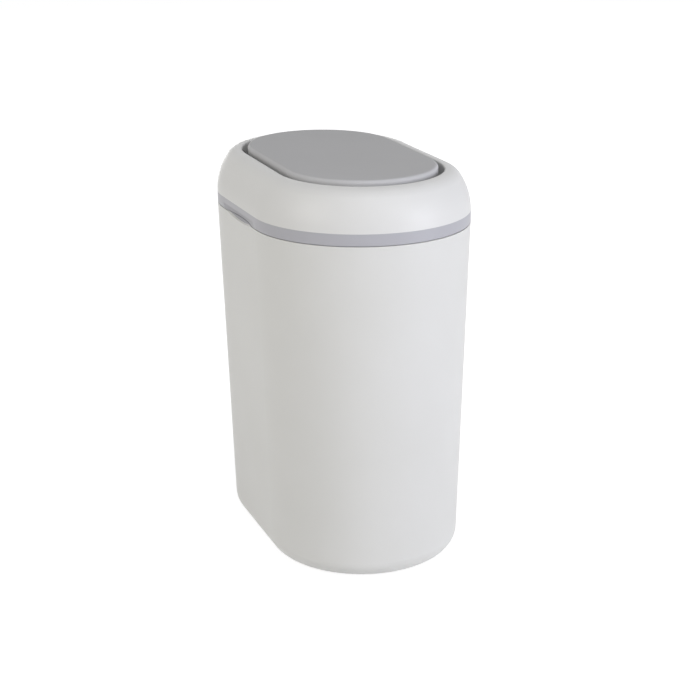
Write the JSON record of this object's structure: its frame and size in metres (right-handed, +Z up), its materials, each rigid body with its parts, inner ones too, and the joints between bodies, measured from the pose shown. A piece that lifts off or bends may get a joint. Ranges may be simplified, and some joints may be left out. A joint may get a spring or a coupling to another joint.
{
  "type": "nappy bin",
  "caption": "Slim stadium-shaped nappy bin with a rounded lift-up head, a grey band, a touch lid set in a well and a sprung odour trap under it.",
  "frame": {"origin": "centre of the base ring's lower face, on the floor", "axes": "+Z up; -Y is the front end; +X is the right-hand long side, where the head's hinge is"},
  "size_m": [0.22, 0.327, 0.41],
  "materials": {
    "white_plastic": "fine satin moulding",
    "inner_plastic": "satin",
    "band_plastic": "satin",
    "lid_plastic": "satin",
    "base_rubber": "matt",
    "seal_rubber": "matt",
    "steel": "bright zinc",
    "magnet": "dark sintered"
  },
  "bodies": {
    "bin": {"body_shell": "white_plastic", "base_ring": "base_rubber", "rim_frame": "band_plastic", "head_hinge_pins": "steel", "liner_ring": "inner_plastic"},
    "head": {"head_band": "band_plastic", "rim_seal": "seal_rubber", "top_housing": "white_plastic", "lid_well": "white_plastic", "housing_screws": "steel", "chute": "inner_plastic", "chute_screws": "steel", "left_flap_pin": "steel", "right_flap_pin": "steel", "left_flap_spring": "steel", "right_flap_spring": "steel", "catch_barrel": "lid_plastic", "catch_spring": "steel", "lid_hinge_pin": "steel", "lid_spring": "steel"},
    "left_trap_flap": {"left_flap": "lid_plastic", "left_flap_seal": "seal_rubber"},
    "right_trap_flap": {"right_flap": "lid_plastic", "right_flap_seal": "seal_rubber"},
    "catch_rod": {"catch_plunger": "inner_plastic", "catch_magnet": "magnet"},
    "lid": {"lid_plate": "lid_plastic", "lid_panel": "inner_plastic", "lid_seal": "seal_rubber", "lid_striker": "steel", "lid_screws": "steel"}
  },
  "joints": [
    {"name": "head_lift", "type": "hinge", "parent": "bin", "child": "head", "pos_m": [0.106, 0, 0.357], "axis": [0, 1, 0], "range_deg": [0, 95]},
    {"name": "left_flap_swing", "type": "hinge", "parent": "head", "child": "left_trap_flap", "pos_m": [-0.06, 0.0005, 0.3302], "axis": [0, 0.9999, 0.0157], "range_deg": [0, 80], "stiffness_Nm_per_rad": 0.06, "springref_deg": -34.38, "deforming": ["left_flap_spring"]},
    {"name": "right_flap_swing", "type": "hinge", "parent": "head", "child": "right_trap_flap", "pos_m": [0.06, 0.0005, 0.3302], "axis": [0, -0.9999, -0.0157], "range_deg": [0, 80], "stiffness_Nm_per_rad": 0.06, "springref_deg": -34.38, "deforming": ["right_flap_spring"]},
    {"name": "catch_travel", "type": "slide", "parent": "head", "child": "catch_rod", "axis": [0, -0.0157, 0.9999], "range_m": [-0.0015, 0], "stiffness_N_per_m": 300, "springref_m": 0.001, "deforming": ["catch_spring"]},
    {"name": "lid_swing", "type": "hinge", "parent": "head", "child": "lid", "pos_m": [0, 0.12038, 0.4029], "axis": [-1, 0, 0], "range_deg": [-0.35, 80], "stiffness_Nm_per_rad": 0.35, "springref_deg": 57.3, "deforming": ["lid_spring", "lid_seal"]}
  ]
}
